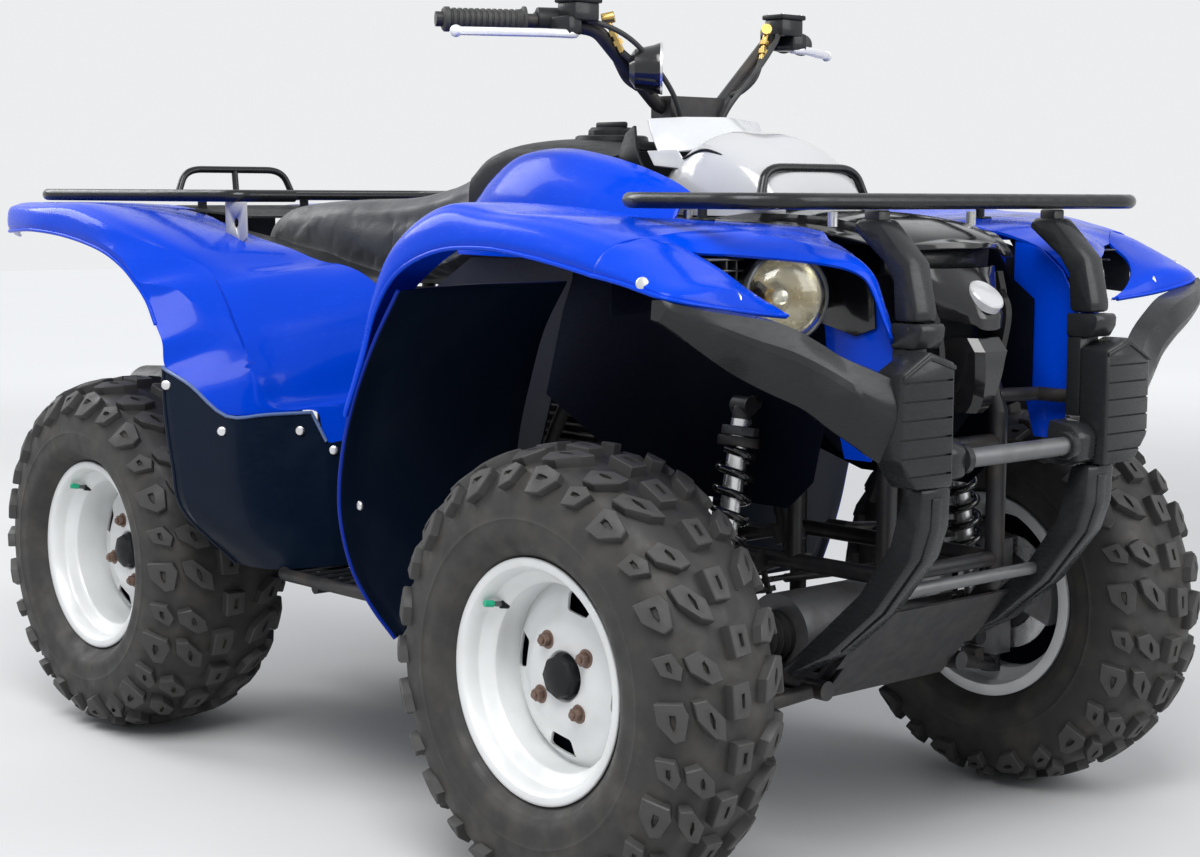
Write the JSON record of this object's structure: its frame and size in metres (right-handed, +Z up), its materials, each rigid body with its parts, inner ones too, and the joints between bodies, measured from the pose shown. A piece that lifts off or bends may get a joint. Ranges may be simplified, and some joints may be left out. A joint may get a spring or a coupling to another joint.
{
  "type": "quad bike",
  "caption": "Four-wheeled utility quad bike with handlebar steering, straddle seat, front and rear luggage racks, fenders, bumper guard and knobbly tyres.",
  "frame": {"origin": "on the ground, under the middle of the bounding box", "axes": "+X forward, +Y to the rider's left, +Z up"},
  "size_m": [2.062, 1.156, 1.234],
  "materials": {
    "black_plastic": "satin",
    "black_steel": "satin",
    "blue_plastic": "gloss",
    "bright_metal": "satin",
    "clear_lens": "gloss",
    "dark_cast": "satin",
    "grey_plastic": "satin",
    "navy_plastic": "satin",
    "red_lens": "gloss",
    "rubber": "matt",
    "seat_vinyl": "matt",
    "silver_steel": "satin"
  },
  "bodies": {
    "chassis": {"bumper_legs": "grey_plastic", "bumper_pads": "grey_plastic", "bumper_pillars": "grey_plastic", "bumper_tubes": "black_steel", "bumper_wings": "grey_plastic", "cowl": "grey_plastic", "engine": "dark_cast", "exhaust": "black_steel", "final_drives": "dark_cast", "footboards": "grey_plastic", "frame": "black_steel", "front_fenders": "blue_plastic", "front_liners": "navy_plastic", "front_rack": "black_steel", "half_shafts": "black_steel", "hitch": "black_steel", "hood": "black_plastic", "lamp_lenses": "clear_lens", "lamp_shells": "black_plastic", "leg_guards": "navy_plastic", "nose": "grey_plastic", "rear_carriers": "dark_cast", "rear_fenders": "blue_plastic", "rear_rack": "black_steel", "seat": "seat_vinyl", "shocks": "black_steel", "side_covers": "black_plastic", "skid_plate": "black_steel", "tail_lamp": "red_lens", "tail_panel": "black_plastic", "tank_panels": "blue_plastic", "tank_top": "black_plastic", "wishbones": "black_steel"},
    "handlebar": {"handlebar": "black_steel", "grips": "rubber", "levers": "bright_metal", "controls": "black_plastic", "control_cables": "black_plastic"},
    "knuckle_left": {"knuckle_left": "dark_cast"},
    "tie_rod_left": {"tie_rod_left": "black_steel"},
    "wheel_front_left": {"tyre_front_left": "rubber", "rim_front_left": "silver_steel", "hub_front_left": "dark_cast"},
    "wheel_rear_left": {"tyre_rear_left": "rubber", "rim_rear_left": "silver_steel", "hub_rear_left": "dark_cast"},
    "knuckle_right": {"knuckle_right": "dark_cast"},
    "tie_rod_right": {"tie_rod_right": "black_steel"},
    "wheel_front_right": {"tyre_front_right": "rubber", "rim_front_right": "silver_steel", "hub_front_right": "dark_cast"},
    "wheel_rear_right": {"tyre_rear_right": "rubber", "rim_rear_right": "silver_steel", "hub_rear_right": "dark_cast"}
  },
  "joints": [
    {"name": "steering", "type": "hinge", "parent": "chassis", "child": "handlebar", "pos_m": [0.605, 0, 0.401], "axis": [-0.3399, 0, 0.9405], "range_deg": [-30, 30]},
    {"name": "kingpin_left", "type": "hinge", "parent": "chassis", "child": "knuckle_left", "pos_m": [0.654, 0.415, 0.311], "axis": [0, 0, 1], "range_deg": [-30, 30]},
    {"name": "tie_rod_pin_left", "type": "hinge", "parent": "knuckle_left", "child": "tie_rod_left", "pos_m": [0.584, 0.415, 0.358], "axis": [0, 0, 1], "range_deg": [-30, 30]},
    {"name": "wheel_spin_front_left", "type": "hinge", "parent": "knuckle_left", "child": "wheel_front_left", "pos_m": [0.654, 0.474, 0.311], "axis": [0, 1, 0], "continuous": true},
    {"name": "wheel_spin_rear_left", "type": "hinge", "parent": "chassis", "child": "wheel_rear_left", "pos_m": [-0.596, 0.414, 0.311], "axis": [0, 1, 0], "continuous": true},
    {"name": "kingpin_right", "type": "hinge", "parent": "chassis", "child": "knuckle_right", "pos_m": [0.654, -0.415, 0.311], "axis": [0, 0, 1], "range_deg": [-30, 30]},
    {"name": "tie_rod_pin_right", "type": "hinge", "parent": "knuckle_right", "child": "tie_rod_right", "pos_m": [0.584, -0.415, 0.358], "axis": [0, 0, 1], "range_deg": [-30, 30]},
    {"name": "wheel_spin_front_right", "type": "hinge", "parent": "knuckle_right", "child": "wheel_front_right", "pos_m": [0.654, -0.474, 0.311], "axis": [0, 1, 0], "continuous": true},
    {"name": "wheel_spin_rear_right", "type": "hinge", "parent": "chassis", "child": "wheel_rear_right", "pos_m": [-0.596, -0.414, 0.311], "axis": [0, 1, 0], "continuous": true}
  ],
  "couplings": [
    {"joint": "kingpin_left", "follows": "steering", "ratio": 1},
    {"joint": "tie_rod_pin_left", "follows": "steering", "ratio": -1},
    {"joint": "kingpin_right", "follows": "steering", "ratio": 1},
    {"joint": "tie_rod_pin_right", "follows": "steering", "ratio": -1}
  ]
}
